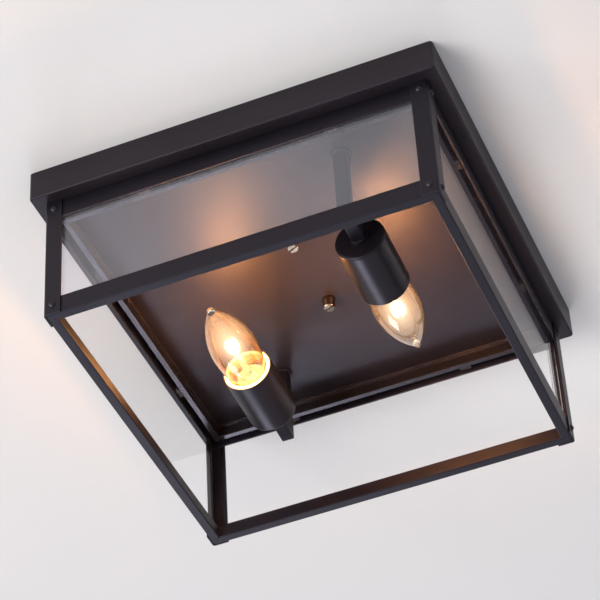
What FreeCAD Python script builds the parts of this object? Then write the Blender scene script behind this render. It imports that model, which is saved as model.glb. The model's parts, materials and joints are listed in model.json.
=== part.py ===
"""Porch ceiling lantern: square pan, glazed square cage and two lamps on bent arms.

Millimetres, +Z up. The ceiling is the plane z = 0, and the origin is the centre of the pan's
back. The near side of the lantern is -Y and its right side is +X.
"""
import FreeCAD, Part
import math
import os
import re
import Sketcher

Vector = FreeCAD.Vector
Placement = FreeCAD.Placement
Rotation = FreeCAD.Rotation

# --------------------------------------------------------------------------- driving sizes
DIMENSIONS = {
    # ceiling pan: a square tray of sheet steel, open towards the ceiling
    "pan_side": 304.8,
    "pan_depth": 25.4,
    "pan_sheet": 1.2,
    "pan_corner_radius": 2.5,
    "pan_bend_radius": 1.5,
    # how far a cut runs past the metal that it takes away
    "cut_margin": 2.0,
    # cage: how far its posts stand in from the pan's sides, and its drop below the pan
    "cage_setback": 8.9,
    "cage_drop": 106.0,
    # corner posts: angle section, outside the rails
    "post_flange": 12.7,
    "post_sheet": 1.2,
    "post_bend_radius": 2.0,
    # top rails: angle section, web up against the pan
    "top_flange": 14.9,
    "top_web": 10.4,
    "rail_sheet": 1.2,
    "rail_bend_radius": 0.9,
    "mitre_gap": 0.15,
    "mitre_relief": 1.0,
    # bottom rails: channel with a short inner lip, the glass stands in it
    "bottom_flange": 15.0,
    "bottom_web": 7.2,
    "bottom_lip": 8.5,
    # glass stops: strips behind the glass under the top rails, with an inner lip
    "stop_setback": 8.8,
    "stop_sheet": 1.0,
    "stop_drop": 12.6,
    "stop_foot": 2.6,
    "stop_lip": 3.9,
    # black blocks between the stops and the glass
    "block_width": 8.6,
    "block_height": 4.8,
    "block_offset": 70.0,
    "block_gap": 0.1,
    # glass panes
    "glass_thickness": 3.0,
    "glass_edge": 0.4,
    "glass_play": 0.2,
    "glass_top_gap": 2.6,
    "glass_cover": 1.7,
    # round head screws through the posts into the rails
    "screw_inset": 6.6,
    "screw_drop": 7.2,
    "screw_rise": 8.2,
    "screw_head_radius": 2.65,
    "screw_head_height": 1.8,
    "screw_radius": 1.45,
    "screw_length": 4.4,
    "hole_play": 0.15,
    "thread_play": 0.05,
    "recess_width": 0.7,
    "recess_span": 2.6,
    "recess_depth": 0.8,
    # blind rivets that join the pan floor and the top rails
    "rivet_spacing": 100.0,
    "rivet_radius": 1.45,
    "rivet_head_radius": 2.6,
    "rivet_head_height": 1.0,
    "rivet_tail_radius": 2.0,
    "rivet_tail_end": 1.6,
    "rivet_tail_height": 1.3,
    # lamp arms: bent square tube, hung from the pan floor
    "arm_x": 63.4,
    "arm_y": 98.6,
    "arm_turn": 1.2,
    "tube_width": 9.5,
    "tube_wall": 0.8,
    "tube_corner_radius": 0.6,
    "socket_drop": 81.2,
    "socket_offset": 25.8,
    "collar_radius": 8.0,
    "collar_height": 1.9,
    "collar_round": 0.7,
    "nipple_fit": 0.1,
    "nipple_wall": 1.1,
    "nipple_reach": 10.0,
    "nipple_tail": 2.0,
    "washer_radius": 6.6,
    "washer_thickness": 1.0,
    "nut_across_flats": 12.0,
    "nut_height": 4.0,
    # hub and hollow nipple at the back of each socket
    "hub_radius": 6.5,
    "hub_length": 3.0,
    "neck_fit": 0.45,
    "neck_wall": 1.1,
    "neck_inside_arm": 6.0,
    "neck_inside_socket": 7.0,
    # black cylinder cover of each socket
    "cover_wall": 0.6,
    "cover_length": 51.8,
    "cover_round": 1.8,
    # porcelain insulator
    "insulator_play": 0.1,
    "insulator_wall": 3.9,
    "insulator_rim_step": 1.0,
    "insulator_rim_depth": 5.0,
    "insulator_base": 7.0,
    "insulator_boss_wall": 4.5,
    "insulator_edge": 0.5,
    # screw shell and centre contact
    "shell_play": 0.3,
    "shell_wall": 0.65,
    "shell_recess": 6.0,
    "shell_floor_bore": 8.0,
    "contact_radius": 4.0,
    "contact_height": 2.3,
    "contact_leaf": 0.5,
    "contact_round": 1.4,
    # lamp: measures from the socket's mouth along its axis
    "lamp_bulge_radius": 17.4,
    "lamp_bulge_place": 23.5,
    "lamp_neck_gap": 0.9,
    "lamp_neck_place": 9.0,
    "lamp_tip_radius": 2.9,
    "lamp_tip_place": 68.6,
    "lamp_glass": 0.7,
    "cap_radius": 12.95,
    "cap_wall": 0.35,
    "cap_top": 7.0,
    "cap_bottom": 28.3,
    "cap_taper": 1.6,
    "cap_hole": 7.4,
    "button_radius": 4.4,
    "button_nose": 3.1,
    "button_thickness": 1.2,
    "button_rise": 1.3,
    "button_rim": 0.4,
    "button_stem": 1.5,
    "button_play": 0.05,
    "face_play": 0.15,
    "contact_play": 0.3,
    "stem_radius": 3.1,
    "stem_foot_radius": 5.0,
    "stem_top_radius": 2.2,
    "stem_flare_gap": 0.1,
    "stem_flare_thickness": 1.0,
    "stem_taper": 5.0,
    "stem_end": 15.0,
    "support_radius": 0.35,
    "support_foot": 1.2,
    "support_rise": 4.0,
    "support_bend": 3.0,
    "support_spread": 5.0,
    "support_end": 2.0,
    "filament_radius": 0.55,
    "filament_place": 27.0,
    "filament_rise": 6.0,
    # mounting hardware behind and through the pan
    "stud_spacing": 70.2,
    "stud_radius": 2.08,
    "stud_reach": 6.1,
    "stud_chamfer": 0.6,
    "stud_hole": 2.6,
    "strap_length": 118.0,
    "strap_width": 19.0,
    "strap_thickness": 2.0,
    "strap_round": 3.0,
    "slot_spacing": 88.9,
    "slot_width": 4.6,
    "slot_length": 9.0,
    "lock_nut_flats": 8.7,
    "lock_nut_height": 3.2,
    "ground_place": 18.0,
    "ground_head": 3.6,
    "ground_head_height": 2.4,
    "ground_head_side": 1.7,
    "ground_head_top": 2.9,
    "ground_gap": 0.4,
    "ground_radius": 2.0,
    "barrel_radius": 4.25,
    "barrel_length": 7.4,
    "barrel_bore_depth": 6.6,
    "barrel_edge": 0.5,
    "barrel_slot_width": 1.1,
    "barrel_slot_depth": 1.3,
    "barrel_slot_turn": -24.0,
    "barrel_washer_radius": 5.2,
    "barrel_washer": 0.8,
}

# Sizes worked out from the driving ones.
FORMULAS = {
    "pan_half": "pan_side / 2",
    "pan_inner_half": "pan_half - pan_sheet",
    "pan_floor_top": "-(pan_depth - pan_sheet)",
    "plate": "-pan_depth",
    "cage_half": "pan_half - cage_setback",
    "cage_bottom": "-(pan_depth + cage_drop)",
    "rail_face": "cage_half - post_sheet",
    "rail_inside": "rail_face - rail_sheet",
    "rail_end": "rail_face - mitre_relief",
    "web_under": "-(pan_depth + rail_sheet)",
    "stop_face": "cage_half - stop_setback",
    "stop_back": "stop_face - stop_sheet",
    "stop_toe": "stop_face - stop_foot",
    "stop_lip_edge": "stop_face - stop_lip",
    "stop_bottom": "web_under - stop_drop",
    "glass_face": "rail_inside - glass_play",
    "glass_back": "glass_face - glass_thickness",
    "glass_half": "cage_half - post_flange + glass_cover",
    "glass_bottom": "cage_bottom + rail_sheet",
    "glass_top": "web_under - glass_top_gap",
    "groove_middle": "(rail_inside + stop_face) / 2",
    "screw_place": "cage_half - screw_inset",
    "screw_high": "plate - screw_drop",
    "screw_low": "cage_bottom + screw_rise",
    "arm_top": "plate - collar_height",
    "tube_half": "tube_width / 2",
    "tube_inner_half": "tube_half - tube_wall",
    "arm_bottom": "-(socket_drop + tube_half)",
    "leg_end": "socket_offset - hub_length",
    "nipple_radius": "tube_inner_half - nipple_fit",
    "nipple_bore": "nipple_radius - nipple_wall",
    "nut_base": "pan_floor_top + washer_thickness",
    "nipple_top": "nut_base + nut_height + nipple_tail",
    "neck_radius": "tube_inner_half - neck_fit",
    "neck_bore": "neck_radius - neck_wall",
    "neck_front": "cover_length - neck_inside_socket",
    "shell_bore": "cap_radius + shell_play",
    "shell_radius": "shell_bore + shell_wall",
    "insulator_bore": "shell_radius + insulator_play",
    "insulator_radius": "insulator_bore + insulator_wall",
    "insulator_rim_bore": "shell_radius + insulator_rim_step",
    "insulator_boss": "neck_radius + insulator_boss_wall",
    "insulator_floor": "contact_tip + contact_height",
    "insulator_depth": "insulator_floor + insulator_base",
    "cover_radius": "insulator_radius + insulator_play + cover_wall",
    "boss_end": "cover_length - cover_wall",
    "button_place": "cap_bottom + cap_taper + button_rise",
    "button_tip": "button_place + button_thickness",
    "contact_tip": "button_tip + contact_play",
    "cap_inner": "cap_radius - cap_wall",
    "lamp_neck_radius": "cap_inner - lamp_neck_gap",
    "lamp_neck_run": "lamp_bulge_place + lamp_neck_place",
    "lamp_neck_swell": "lamp_bulge_radius - lamp_neck_radius",
    "lamp_neck_arc": "(lamp_neck_swell ^ 2 + lamp_neck_run ^ 2) / (2 * lamp_neck_swell)",
    "lamp_neck_inner_arc": "lamp_neck_arc - lamp_glass",
    "lamp_neck_depth": "lamp_neck_arc - lamp_bulge_radius",
    "lamp_neck_inner": "sqrt(lamp_neck_inner_arc ^ 2 - lamp_neck_run ^ 2) - lamp_neck_depth",
    "lamp_nose_run": "lamp_tip_place - lamp_bulge_place",
    "lamp_nose_swell": "lamp_bulge_radius - lamp_tip_radius",
    "lamp_nose_arc": "(lamp_nose_swell ^ 2 + lamp_nose_run ^ 2) / (2 * lamp_nose_swell)",
    "lamp_nose_inner_arc": "lamp_nose_arc - lamp_glass",
    "lamp_tip_depth": "lamp_nose_arc - lamp_nose_swell",
    "lamp_tip_inner": "lamp_bulge_place + sqrt(lamp_nose_inner_arc ^ 2 - lamp_tip_depth ^ 2)",
    "lamp_bulge_inner": "lamp_bulge_radius - lamp_glass",
    "lamp_end": "lamp_tip_place + lamp_tip_radius",
    "stem_flare": "lamp_neck_inner - stem_flare_gap",
    "stud_half": "stud_spacing / 2",
    "stud_end": "pan_depth + stud_reach",
    "barrel_washer_top": "plate - face_play",
    "barrel_top": "barrel_washer_top - barrel_washer - face_play",
    "barrel_bore": "stud_radius + thread_play",
}

# The four sides, each turned from the near one.
SIDES = (("near", 0), ("right", 90), ("far", 180), ("left", 270))
CORNERS = (("near_left", 0), ("near_right", 90), ("far_right", 180), ("far_left", 270))
# The right lamp points away from the near side, and the left one back towards it.
LAMPS = (("right", 0), ("left", 180))

doc = FreeCAD.newDocument("ceiling_lantern")
sheet = doc.addObject("Spreadsheet::Sheet", "Sizes")
for row, (alias, number) in enumerate(DIMENSIONS.items(), start=1):
    sheet.set("A%d" % row, alias)
    sheet.set("B%d" % row, str(number))
    sheet.setAlias("B%d" % row, alias)
doc.recompute()

parts = {}


# --------------------------------------------------------------------------- formulas
def bound(formula):
    """Write a formula out with the cells of the sheet."""
    def swap(match):
        word = match.group()
        if word in FORMULAS:
            return "(" + bound(FORMULAS[word]) + ")"
        if word in DIMENSIONS:
            return "Sizes." + word
        return word
    return re.sub(r"[a-z]\w*", swap, formula)


def size(formula):
    """The number that a formula gives with the sheet's present values."""
    return float(sheet.evalExpression(bound(formula)))


# --------------------------------------------------------------------------- sketches
def new_body(label):
    """A body that becomes the sub-part of this name."""
    body = doc.addObject("PartDesign::Body", label)
    body.Label = label
    parts[label] = body
    return body


def new_sketch(body, role, height="0"):
    """A sketch on an origin plane of its body, or parallel to it at a height."""
    sketch = body.newObject("Sketcher::SketchObject", body.Name + "_sketch")
    plane = [item for item in body.Origin.OriginFeatures if item.Role == role][0]
    sketch.AttachmentSupport = [(plane, "")]
    sketch.MapMode = "FlatFace"
    sketch.setExpression("AttachmentOffset.Base.z", bound(height))
    return sketch


def hold(sketch, kind, geometry, vertex, formula):
    """Tie one coordinate of a sketch point to the sheet."""
    constraint = Sketcher.Constraint(kind, -1, 1, geometry, vertex, size(formula))
    number = sketch.addConstraint(constraint)
    sketch.setExpression("Constraints[%d]" % number, bound(formula))


def hold_radius(sketch, geometry, formula):
    """Tie the radius of a circle or an arc to the sheet."""
    number = sketch.addConstraint(Sketcher.Constraint("Radius", geometry, size(formula)))
    sketch.setExpression("Constraints[%d]" % number, bound(formula))


def arc_between(start, end, radius, side):
    """The short arc between two points; side is 1 where it bulges to the left of the way."""
    chord = end - start
    half = chord.Length / 2
    across = Vector(-chord.y, chord.x, 0).normalize()
    rise = math.sqrt(max(radius ** 2 - half ** 2, 0))
    centre = start + chord / 2 - across * rise * side
    first = math.atan2(start.y - centre.y, start.x - centre.x)
    last = math.atan2(end.y - centre.y, end.x - centre.x)
    circle = Part.Circle(centre, Vector(0, 0, 1), radius)
    if side > 0:
        first, last = last, first
    if last < first:
        last += 2 * math.pi
    return Part.ArcOfCircle(circle, first, last)


def outline(sketch, points):
    """A closed outline. A point is (x, y), or (x, y, radius, side) where an arc follows it."""
    places = [Vector(size(point[0]), size(point[1]), 0) for point in points]
    ends = []
    for index, point in enumerate(points):
        start = places[index]
        end = places[(index + 1) % len(points)]
        if len(point) == 2:
            number = sketch.addGeometry(Part.LineSegment(start, end), False)
            ends.append((number, 1, 2))
            continue
        arc = arc_between(start, end, size(point[2]), point[3])
        number = sketch.addGeometry(arc, False)
        hold_radius(sketch, number, point[2])
        ends.append((number, 2, 1) if point[3] > 0 else (number, 1, 2))
    for index, point in enumerate(points):
        number, begin, finish = ends[index]
        follower, its_begin, its_finish = ends[(index + 1) % len(points)]
        sketch.addConstraint(Sketcher.Constraint("Coincident", number, finish, follower, its_begin))
        hold(sketch, "DistanceX", number, begin, point[0])
        hold(sketch, "DistanceY", number, begin, point[1])


def circles(sketch, places, radius):
    """Circles of one radius at a list of (x, y) formulas."""
    for x, y in places:
        centre = Vector(size(x), size(y), 0)
        number = sketch.addGeometry(Part.Circle(centre, Vector(0, 0, 1), size(radius)), False)
        hold(sketch, "DistanceX", number, 3, x)
        hold(sketch, "DistanceY", number, 3, y)
        hold_radius(sketch, number, radius)


def rectangle(sketch, x_low, x_high, y_low, y_high):
    """A rectangle between four formulas."""
    outline(sketch, [(x_low, y_low), (x_high, y_low), (x_high, y_high), (x_low, y_high)])


def long_slot(sketch, middle, length, width):
    """A slot along Y with round ends, on the Y axis about a middle."""
    radius = width + " / 2"
    run = "(" + length + " - " + width + ") / 2"
    half = size(radius)
    ends = []
    for sign, first in ((" - ", math.pi), (" + ", 0)):
        centre = middle + sign + run
        circle = Part.Circle(Vector(0, size(centre), 0), Vector(0, 0, 1), half)
        arc = sketch.addGeometry(Part.ArcOfCircle(circle, first, first + math.pi), False)
        hold(sketch, "DistanceX", arc, 3, "0")
        hold(sketch, "DistanceY", arc, 3, centre)
        hold_radius(sketch, arc, radius)
        ends.append((arc, size(centre)))
    (low, low_y), (high, high_y) = ends
    for x, low_end, high_end in ((half, 2, 1), (-half, 1, 2)):
        side = Part.LineSegment(Vector(x, low_y, 0), Vector(x, high_y, 0))
        line = sketch.addGeometry(side, False)
        sketch.addConstraint(Sketcher.Constraint("Tangent", line, 1, low, low_end))
        sketch.addConstraint(Sketcher.Constraint("Tangent", line, 2, high, high_end))


# --------------------------------------------------------------------------- features
def pad(body, sketch, length, midplane=False, downwards=False):
    """Extrude a sketch; its plane's normal points up unless it is turned downwards."""
    feature = body.newObject("PartDesign::Pad", body.Name + "_pad")
    feature.Profile = sketch
    feature.Midplane = midplane
    feature.Reversed = downwards
    feature.setExpression("Length", bound(length))
    sketch.Visibility = False
    doc.recompute()
    return feature


def cut(body, sketch, depth=None, midplane=False, backwards=False):
    """Pocket a sketch, all the way through where no depth is given, and prove that it cut."""
    before = body.Shape.Volume
    feature = body.newObject("PartDesign::Pocket", body.Name + "_pocket")
    feature.Profile = sketch
    feature.Midplane = midplane
    feature.Reversed = backwards
    if depth is None:
        feature.Type = 1
    else:
        feature.setExpression("Length", bound(depth))
    sketch.Visibility = False
    doc.recompute()
    if not body.Shape.Volume < before - 1e-4:
        raise RuntimeError(body.Label + ": a pocket cuts nothing")
    return feature


def turn(body, points):
    """Revolve an outline of (radius, height) points about the vertical axis."""
    sketch = new_sketch(body, "XZ_Plane")
    outline(sketch, points)
    feature = body.newObject("PartDesign::Revolution", body.Name + "_turned")
    feature.Profile = sketch
    feature.ReferenceAxis = (sketch, ["V_Axis"])
    feature.Angle = 360
    sketch.Visibility = False
    doc.recompute()
    return feature


def dome(radius, height):
    """The radius of the sphere whose cap has this radius and height."""
    return "(" + radius + " ^ 2 + " + height + " ^ 2) / (2 * " + height + ")"


def round_edges(body, radius, wanted, kind="PartDesign::Fillet"):
    """Fillet, or chamfer, the edges of the body's tip that the test picks."""
    tip = body.Tip
    names = []
    for number, edge in enumerate(tip.Shape.Edges, start=1):
        if wanted(edge):
            names.append("Edge%d" % number)
    if not names:
        raise RuntimeError(body.Label + ": no edge to round")
    feature = body.newObject(kind, body.Name + "_edges")
    feature.Base = (tip, names)
    sized = "Radius" if kind == "PartDesign::Fillet" else "Size"
    feature.setExpression(sized, bound(radius))
    doc.recompute()
    return feature


def upright(edge):
    """True for a straight edge along Z."""
    if edge.Curve.TypeId != "Part::GeomLine":
        return False
    return abs(edge.tangentAt(edge.FirstParameter).z) > 0.999


def at(edge, **wanted):
    """True where the edge's middle has the wanted coordinates."""
    middle = edge.valueAt((edge.FirstParameter + edge.LastParameter) / 2)
    return all(abs(getattr(middle, axis) - number) < 0.01 for axis, number in wanted.items())


def group_of(label, shape, places):
    """One node that holds a copy of a shape at each place."""
    group = doc.addObject("Part::Feature", label)
    group.Label = label
    group.Shape = Part.makeCompound([shape.transformed(place.toMatrix()) for place in places])
    parts[label] = group
    return group


def pattern_of(label, master, places):
    """Copies of a hidden master body as one node."""
    del parts[master.Label]
    doc.recompute()
    shape = master.Shape.copy()
    return group_of(label, shape, places)


# --------------------------------------------------------------------------- places
def turned_side(angle):
    """The place of a near side piece on the side at this angle."""
    return Placement(Vector(0, 0, 0), Rotation(Vector(0, 0, 1), angle))


def arm_frame(angle):
    """The frame of one lamp arm: its tube's axis on the ceiling plane, +Y along the socket."""
    lean = Rotation(Vector(0, 0, 1), angle + size("arm_turn"))
    stand = Rotation(Vector(0, 0, 1), angle).multVec(Vector(size("arm_x"), size("-arm_y"), 0))
    return Placement(stand, lean)


def mouth_frame(angle):
    """The frame at a socket's mouth: +Z out of it along the lamp."""
    reach = Vector(0, size("socket_offset + cover_length"), size("-socket_drop"))
    return arm_frame(angle) * Placement(reach, Rotation(Vector(1, 0, 0), -90))


# --------------------------------------------------------------------------- ceiling pan
def ceiling_pan():
    """A square tray with rounded corners, drilled for its rivets, arms and studs."""
    body = new_body("ceiling_pan")
    square = new_sketch(body, "XY_Plane")
    rectangle(square, "-pan_half", "pan_half", "-pan_half", "pan_half")
    pad(body, square, "pan_depth", downwards=True)
    round_edges(body, "pan_corner_radius", upright)
    floor = size("plate")
    round_edges(body, "pan_bend_radius", lambda edge: at(edge, z=floor))
    hollow = new_sketch(body, "XY_Plane")
    rectangle(hollow, "-pan_inner_half", "pan_inner_half", "-pan_inner_half", "pan_inner_half")
    cut(body, hollow, "pan_depth - pan_sheet")
    inner = size("pan_inner_half")
    inner_corner = lambda edge: upright(edge) and abs(abs(edge.Vertexes[0].X) - inner) < 0.01
    round_edges(body, "max(pan_corner_radius - pan_sheet; 0.3)", inner_corner)
    holes = new_sketch(body, "XY_Plane")
    circles(holes, [("0", "stud_half"), ("0", "-stud_half")], "stud_hole")
    circles(holes, [("arm_x", "-arm_y"), ("-arm_x", "arm_y")], "nipple_radius + hole_play")
    cut(body, holes)
    drilled = new_sketch(body, "XY_Plane")
    circles(drilled, rivet_places(), "rivet_radius + thread_play")
    cut(body, drilled)


def rivet_places():
    """Three rivets along each side, over the groove of the top rails."""
    places = []
    for along in ("-rivet_spacing", "0", "rivet_spacing"):
        for across in ("groove_middle", "-(groove_middle)"):
            places.append((along, across))
            places.append((across, along))
    return places


def pan_rivets():
    """Blind rivets: a domed head inside the pan and a tail in the rail's groove."""
    master = new_body("rivet_master")
    stack = "pan_sheet + rail_sheet"
    turn(master, [
        ("0", "rivet_head_height", dome("rivet_head_radius", "rivet_head_height"), 1),
        ("rivet_head_radius", "0"),
        ("rivet_radius", "0"),
        ("rivet_radius", "-(" + stack + ")"),
        ("rivet_tail_radius", "-(" + stack + ")"),
        ("rivet_tail_end", "-(" + stack + " + rivet_tail_height)"),
        ("0", "-(" + stack + " + rivet_tail_height)"),
    ])
    height = size("pan_floor_top")
    places = [Placement(Vector(size(x), size(y), height), Rotation()) for x, y in rivet_places()]
    pattern_of("pan_rivets", master, places)


# --------------------------------------------------------------------------- cage
def mitre(body, depth):
    """Cut both ends of a near side rail back to 45 degrees, with a square relief outside."""
    ends = new_sketch(body, "XY_Plane")
    outside = "rail_face + rail_sheet"
    for sign in ("", "-"):
        outline(ends, [
            (sign + "(rail_end - mitre_gap)", "-(" + outside + ")"),
            (sign + "(rail_end - mitre_gap)", "-rail_end"),
            (sign + "(rail_face - " + depth + " - mitre_gap)", "-(rail_face - " + depth + ")"),
            (sign + "(" + outside + ")", "-(rail_face - " + depth + ")"),
            (sign + "(" + outside + ")", "-(" + outside + ")"),
        ])
    cut(body, ends)


def flange_holes(body, height):
    """The two screw holes in a rail's outer flange."""
    holes = new_sketch(body, "XZ_Plane")
    places = [("screw_place", height), ("-(screw_place)", height)]
    circles(holes, places, "screw_radius + thread_play")
    cut(body, holes, backwards=True)


def top_rail(side, angle):
    """Angle rail: outer flange, and a web flat against the pan."""
    body = new_body("top_rail_" + side)
    section = new_sketch(body, "YZ_Plane")
    outline(section, [
        ("-(rail_face)", "plate"),
        ("-(rail_face)", "plate - top_flange"),
        ("-(rail_inside)", "plate - top_flange"),
        ("-(rail_inside)", "web_under"),
        ("-(rail_face - top_web)", "web_under"),
        ("-(rail_face - top_web)", "plate"),
    ])
    pad(body, section, "2 * rail_face", midplane=True)
    bend_y = size("-(rail_face)")
    bend_z = size("plate")
    round_edges(body, "rail_bend_radius", lambda edge: at(edge, y=bend_y, z=bend_z))
    mitre(body, "(top_web + cut_margin)")
    flange_holes(body, "screw_high")
    rivets = new_sketch(body, "XY_Plane")
    along = ("-rivet_spacing", "0", "rivet_spacing")
    circles(rivets, [(x, "-(groove_middle)") for x in along], "rivet_radius + thread_play")
    cut(body, rivets)
    body.Placement = turned_side(angle)


def bottom_rail(side, angle):
    """Channel rail: outer flange, web below and a short inner lip."""
    body = new_body("bottom_rail_" + side)
    section = new_sketch(body, "YZ_Plane")
    outline(section, [
        ("-(rail_face)", "cage_bottom + bottom_flange"),
        ("-(rail_face)", "cage_bottom"),
        ("-(rail_face - bottom_web)", "cage_bottom"),
        ("-(rail_face - bottom_web)", "cage_bottom + bottom_lip"),
        ("-(rail_face - bottom_web + rail_sheet)", "cage_bottom + bottom_lip"),
        ("-(rail_face - bottom_web + rail_sheet)", "cage_bottom + rail_sheet"),
        ("-(rail_inside)", "cage_bottom + rail_sheet"),
        ("-(rail_inside)", "cage_bottom + bottom_flange"),
    ])
    pad(body, section, "2 * rail_face", midplane=True)
    outer = size("-(rail_face)")
    inner = size("-(rail_face - bottom_web)")
    low = size("cage_bottom")
    bend = lambda edge: at(edge, y=outer, z=low) or at(edge, y=inner, z=low)
    round_edges(body, "rail_bend_radius", bend)
    mitre(body, "(bottom_web + cut_margin)")
    flange_holes(body, "screw_low")
    body.Placement = turned_side(angle)


def corner_post(corner, angle):
    """Angle post outside the rails, with two screw holes in each flange."""
    body = new_body("corner_post_" + corner)
    section = new_sketch(body, "XY_Plane", "plate")
    outline(section, [
        ("-cage_half", "-cage_half"),
        ("-(cage_half - post_flange)", "-cage_half"),
        ("-(cage_half - post_flange)", "-(rail_face)"),
        ("-(rail_face)", "-(rail_face)"),
        ("-(rail_face)", "-(cage_half - post_flange)"),
        ("-cage_half", "-(cage_half - post_flange)"),
    ])
    pad(body, section, "cage_drop", downwards=True)
    outside = size("-cage_half")
    inside = size("-(rail_face)")
    round_edges(body, "post_bend_radius", lambda edge: at(edge, x=outside, y=outside))
    inner_radius = "max(post_bend_radius - post_sheet; 0.2)"
    round_edges(body, inner_radius, lambda edge: at(edge, x=inside, y=inside))
    for plane, backwards in (("XZ_Plane", True), ("YZ_Plane", False)):
        holes = new_sketch(body, plane)
        places = [("-(screw_place)", "screw_high"), ("-(screw_place)", "screw_low")]
        circles(holes, places, "screw_radius + hole_play")
        cut(body, holes, backwards=backwards)
    body.Placement = turned_side(angle)


def glass_stop(side, angle):
    """Strip behind the glass: a foot under the rail's web, and a lip bent in at the bottom."""
    body = new_body("glass_stop_" + side)
    section = new_sketch(body, "YZ_Plane")
    outline(section, [
        ("-(stop_face)", "web_under"),
        ("-(stop_face)", "stop_bottom"),
        ("-(stop_lip_edge)", "stop_bottom"),
        ("-(stop_lip_edge)", "stop_bottom + stop_sheet"),
        ("-(stop_back)", "stop_bottom + stop_sheet"),
        ("-(stop_back)", "web_under - stop_sheet"),
        ("-(stop_toe)", "web_under - stop_sheet"),
        ("-(stop_toe)", "web_under"),
    ])
    pad(body, section, "2 * stop_face", midplane=True)
    ends = new_sketch(body, "XY_Plane")
    for sign in ("", "-"):
        outline(ends, [
            (sign + "(stop_back - mitre_gap)", "-(stop_face + cut_margin)"),
            (sign + "(stop_back - mitre_gap)", "-(stop_back)"),
            (sign + "(stop_lip_edge - cut_margin - mitre_gap)", "-(stop_lip_edge - cut_margin)"),
            (sign + "(stop_face + cut_margin)", "-(stop_lip_edge - cut_margin)"),
            (sign + "(stop_face + cut_margin)", "-(stop_face + cut_margin)"),
        ])
    cut(body, ends)
    body.Placement = turned_side(angle)


def stop_blocks():
    """Black blocks that fill the gap between the stops and the panes, two on each side."""
    master = new_body("block_master")
    section = new_sketch(master, "XY_Plane", "stop_bottom")
    low = "-(glass_back - block_gap)"
    rectangle(section, "-block_width / 2", "block_width / 2", low, "-(stop_face)")
    pad(master, section, "block_height")
    places = []
    for side, angle in SIDES:
        for along in ("-block_offset", "block_offset"):
            places.append(turned_side(angle) * Placement(Vector(size(along), 0, 0), Rotation()))
    pattern_of("stop_blocks", master, places)


def glass_pane(side, angle):
    """Clear pane standing in the bottom channel, its long edges eased."""
    body = new_body("glass_pane_" + side)
    face = new_sketch(body, "XZ_Plane", "glass_back")
    rectangle(face, "-(glass_half)", "glass_half", "glass_bottom", "glass_top")
    pad(body, face, "glass_thickness")
    round_edges(body, "glass_edge", lambda edge: True, "PartDesign::Chamfer")
    body.Placement = turned_side(angle)


def post_screws():
    """Round head screws, two rows of eight, each with a cross recess."""
    master = new_body("screw_master")
    turn(master, [
        ("0", "screw_head_height", dome("screw_head_radius", "screw_head_height"), 1),
        ("screw_head_radius", "0"),
        ("screw_radius", "0"),
        ("screw_radius", "-screw_length"),
        ("0", "-screw_length"),
    ])
    recess = new_sketch(master, "XY_Plane", "screw_head_height - recess_depth")
    arm = "recess_span / 2"
    web = "recess_width / 2"
    cross = [(arm, web), (web, web), (web, arm)]
    cross += [("-" + x, y) for x, y in reversed(cross)]
    cross += [(x, "-" + y) for x, y in reversed(cross)]
    outline(recess, cross)
    cut(master, recess, "recess_depth + cut_margin", backwards=True)
    for label, height in (("upper_post_screws", "screw_high"), ("lower_post_screws", "screw_low")):
        places = []
        for side, angle in SIDES:
            for across in ("screw_place", "-(screw_place)"):
                spot = Vector(size(across), size("-cage_half"), size(height))
                places.append(turned_side(angle) * Placement(spot, Rotation(Vector(1, 0, 0), 90)))
        shape_group(label, master, places)
    del parts[master.Label]


def shape_group(label, master, places):
    """Copies of a master body that more than one node uses."""
    doc.recompute()
    return group_of(label, master.Shape.copy(), places)


# --------------------------------------------------------------------------- lamp arms
def lamp_arm(side, angle):
    """Square tube that drops from the pan and turns towards its socket, closed at both ends."""
    body = new_body("lamp_arm_" + side)
    solid = new_sketch(body, "YZ_Plane")
    leg_top = "-(socket_drop - tube_half)"
    outline(solid, [
        ("-tube_half", "arm_top"),
        ("-tube_half", "arm_bottom"),
        ("leg_end", "arm_bottom"),
        ("leg_end", leg_top),
        ("tube_half", leg_top),
        ("tube_half", "arm_top"),
    ])
    pad(body, solid, "tube_width", midplane=True)
    half = size("tube_half")
    along = lambda edge: abs(abs(edge.CenterOfMass.x) - half) < 0.01
    round_edges(body, "tube_corner_radius", along)
    bore = new_sketch(body, "YZ_Plane")
    outline(bore, [
        ("-(tube_inner_half)", "arm_top - tube_wall"),
        ("-(tube_inner_half)", "arm_bottom + tube_wall"),
        ("leg_end - tube_wall", "arm_bottom + tube_wall"),
        ("leg_end - tube_wall", leg_top + " - tube_wall"),
        ("tube_inner_half", leg_top + " - tube_wall"),
        ("tube_inner_half", "arm_top - tube_wall"),
    ])
    cut(body, bore, "2 * tube_inner_half", midplane=True)
    top = new_sketch(body, "XY_Plane", "arm_top")
    circles(top, [("0", "0")], "nipple_radius + thread_play")
    cut(body, top, "2 * tube_wall")
    tail = new_sketch(body, "XZ_Plane", "-(leg_end)")
    circles(tail, [("0", "-socket_drop")], "neck_radius + thread_play")
    cut(body, tail, "2 * tube_wall", backwards=True)
    body.Placement = arm_frame(angle)


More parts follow.
